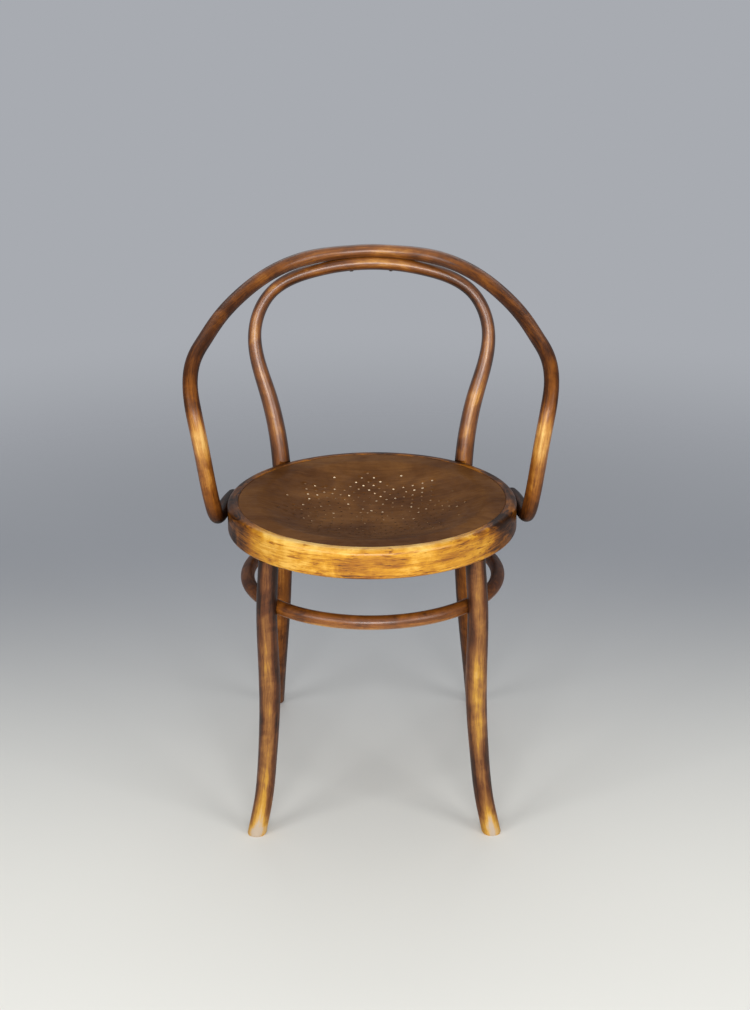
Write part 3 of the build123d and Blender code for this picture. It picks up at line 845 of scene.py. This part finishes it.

# %% [markdown]
# The walls of the holes are bare wood. Many are filled with old dirt, so a noise as coarse as the holes are
# apart picks clean or dirty for each, and the walls are made darker towards the front.

# %% Bare wood in the holes
bare = Finish("bare_wood")
spot = bare.node("TexCoord").outputs["Object"]
axes = bare.node("SeparateXYZ")
bare.join(spot, axes.inputs["Vector"])
to_back = bare.spread(axes.outputs["Y"], seat_axis[1] - 0.06, seat_axis[1] + 0.1, -0.14, 0.06)
clean = bare.math("ADD", bare.noise(spot, 62, detail=2), to_back)
DIRT = [
    (0.36, colour(70, 46, 28)),
    (0.5, colour(136, 104, 72)),
    (0.66, colour(236, 216, 184)),
]
bare.join(bare.ramp(clean, DIRT), bare.shader.inputs["Base Color"])
bare.shader.inputs["Roughness"].default_value = 0.75
bare.shader.inputs["Specular IOR Level"].default_value = 0.2
print("hole finish:", len(bare.tree.nodes), "nodes")

# %% [markdown]
# The copy of the CAD mesh has its doubled points merged, so that its faces share edges and shade evenly. A
# steep face well inside the rim is the wall of a hole.

# %% Panel mesh
MERGE_DISTANCE = 2e-6
WALL_STEEPNESS = 0.3
HOLES_REACH = 0.19
sheet = bmesh.new()
sheet.from_mesh(nodes["seat_panel"].data)
bmesh.ops.remove_doubles(sheet, verts=sheet.verts, dist=MERGE_DISTANCE)
panel_mesh = bpy.data.meshes.new("seat_panel_wood")
sheet.to_mesh(panel_mesh)
sheet.free()
panel_mesh.materials.clear()
panel_mesh.materials.append(panel.material)
panel_mesh.materials.append(bare.material)
count = len(panel_mesh.polygons)
normals, centres = np.empty(count * 3, np.float32), np.empty(count * 3, np.float32)
panel_mesh.polygons.foreach_get("normal", normals)
panel_mesh.polygons.foreach_get("center", centres)
normals, centres = normals.reshape(-1, 3), centres.reshape(-1, 3)
panel_reach = np.hypot(centres[:, 0], centres[:, 1] - seat_axis[1])
hole_wall = (np.abs(normals[:, 2]) < WALL_STEEPNESS) & (panel_reach < HOLES_REACH)
panel_mesh.polygons.foreach_set("material_index", hole_wall.astype(np.int32))
panel_mesh.polygons.foreach_set("use_smooth", np.ones(count, dtype=bool))
panel_mesh.set_sharp_from_angle(angle=SHARP_ANGLE)
seat_panel = bpy.data.objects.new("seat_panel_wood", panel_mesh)
bpy.context.scene.collection.objects.link(seat_panel)
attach(seat_panel, "root")
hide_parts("seat_panel")
print("panel:", count, "faces, of which hole walls", int(hole_wall.sum()))

# %% [markdown]
# ## Screws, bolts, washers and nuts
# The fasteners keep their CAD shapes, with the slots in their heads, and only get a finish: dull old
# steel, browned in patches.

# %% Fasteners
steel = Finish("old_steel")
spot = steel.node("TexCoord").outputs["Object"]
rust = steel.noise(spot, 220, detail=4, roughness=0.6)
STEEL = [(0.35, colour(96, 88, 80)), (0.65, colour(84, 58, 40))]
steel.join(steel.ramp(rust, STEEL), steel.shader.inputs["Base Color"])
steel.join(steel.spread(rust, 0.35, 0.65, 0.35, 0.6), steel.shader.inputs["Roughness"])
steel.shader.inputs["Metallic"].default_value = 0.85
steel.bump(rust, 0.2, 0.0002)
bent_pieces = {"seat_ring", "seat_panel", "rear_frame", "arm_bow", "leg_ring"}
wooden = bent_pieces | {"front_leg_left", "front_leg_right"}
fasteners = [name for name in nodes if name not in wooden]
for name in fasteners:
    nodes[name].data.materials.clear()
    nodes[name].data.materials.append(steel.material)
print("fasteners:", len(fasteners))

# %% [markdown]
# ## Floor and background
# The chair stands on a pale floor that turns to blue grey behind it, as the photograph's cloth does. A wall
# would hide the chair from behind, so there is none: the floor fades out a few steps away, into a plain
# background of the same blue grey. A sheet hung behind could be drawn too, but only the front would show.

# %% Floor
FLOOR_HALF = 4000.0
TURN_START, TURN_END = -0.4, 1.0
FADE_START, FADE_END = 0.9, 2.6
BLUE_GREY = colour(168, 171, 177)
FLOOR = [(0.0, colour(226, 225, 219)), (1.0, BLUE_GREY)]
corners = FLOOR_HALF * np.array([(-1, -1, 0), (1, -1, 0), (1, 1, 0), (-1, 1, 0)])
floor_mesh = bpy.data.meshes.new("floor")
floor_mesh.from_pydata(place(corners).tolist(), [], [(0, 1, 2, 3)])
floor = bpy.data.objects.new("floor", floor_mesh)
bpy.context.scene.collection.objects.link(floor)
cloth = Finish("floor")
spot = cloth.node("TexCoord").outputs["Object"]
axes = cloth.node("SeparateXYZ")
cloth.join(spot, axes.inputs["Vector"])
depth = cloth.spread(axes.outputs["Y"], TURN_START, TURN_END, kind="SMOOTHSTEP")
cloth.join(cloth.ramp(depth, FLOOR), cloth.shader.inputs["Base Color"])
cloth.shader.inputs["Roughness"].default_value = 0.95
cloth.shader.inputs["Specular IOR Level"].default_value = 0.1
away = cloth.node("VectorMath", operation="LENGTH")
cloth.join(spot, away.inputs[0])
fade = cloth.node("MixShader")
far = cloth.spread(away.outputs["Value"], FADE_START, FADE_END, kind="SMOOTHSTEP")
cloth.join(far, fade.inputs[0])
cloth.join(cloth.shader.outputs["BSDF"], fade.inputs[1])
cloth.join(cloth.node("BsdfTransparent").outputs["BSDF"], fade.inputs[2])
cloth.join(fade.outputs["Shader"], cloth.tree.nodes["Material Output"].inputs["Surface"])
floor.data.materials.append(cloth.material)
print("floor:", len(cloth.tree.nodes), "nodes")

# %% [markdown]
# The world has two colours: one that the camera and the gloss see, and a weak light for everything else.

# %% Background
WORLD_LIGHT = 0.24
world = bpy.data.worlds.new("studio")
world.use_nodes = True
tree = world.node_tree
light = tree.nodes["Background"]
light.inputs["Color"].default_value = (0.93, 0.96, 1.0, 1.0)
light.inputs["Strength"].default_value = WORLD_LIGHT
seen = tree.nodes.new("ShaderNodeBackground")
seen.inputs["Color"].default_value = BLUE_GREY
path = tree.nodes.new("ShaderNodeLightPath")
shows = path.outputs["Is Camera Ray"]
for ray in ("Is Glossy Ray", "Is Transmission Ray"):
    either = tree.nodes.new("ShaderNodeMath")
    either.operation = "MAXIMUM"
    tree.links.new(shows, either.inputs[0])
    tree.links.new(path.outputs[ray], either.inputs[1])
    shows = either.outputs["Value"]
choice = tree.nodes.new("ShaderNodeMixShader")
tree.links.new(shows, choice.inputs[0])
tree.links.new(light.outputs["Background"], choice.inputs[1])
tree.links.new(seen.outputs["Background"], choice.inputs[2])
tree.links.new(choice.outputs["Shader"], tree.nodes["World Output"].inputs["Surface"])
bpy.context.scene.world = world
bpy.context.scene.view_settings.view_transform = "Standard"
print("background:", world.name)

# %% [markdown]
# ## Lamps
# The strongest lamp stands by the camera, so every rod has its sheen down the middle and darkens towards
# both edges, as in the photograph. Two weaker lamps at the sides, one behind and one above fill the shade.


# %% Lamps
def softbox(name, spot, target, wide, tall, power):
    """Rectangular area lamp that faces a point."""
    lamp = bpy.data.lights.new(name, "AREA")
    lamp.shape = "RECTANGLE"
    lamp.size, lamp.size_y, lamp.energy = wide, tall, power
    made = bpy.data.objects.new(name, lamp)
    back = unit(place(spot) - place(target))
    across = unit(np.cross([0, 0, 1.0], back))
    matrix = np.eye(4)
    matrix[:3, :3] = np.stack([across, np.cross(back, across), back], axis=1)
    matrix[:3, 3] = place(spot)
    made.matrix_world = Matrix(matrix.tolist())
    bpy.context.scene.collection.objects.link(made)


aim = (0.0, 0.0, 450.0)
softbox("lamp_front", (0.0, -3300.0, 1350.0), aim, 2.0, 0.6, 82)
softbox("lamp_left", (-2000.0, -2000.0, 1500.0), aim, 1.2, 1.2, 28)
softbox("lamp_right", (2000.0, -2000.0, 1500.0), aim, 1.2, 1.2, 28)
softbox("lamp_top", (0.0, -300.0, 2900.0), aim, 3.0, 3.0, 14)
softbox("lamp_back", (0.0, 2200.0, 2600.0), aim, 2.0, 1.2, 14)
print("lamps:", len(bpy.data.lights))
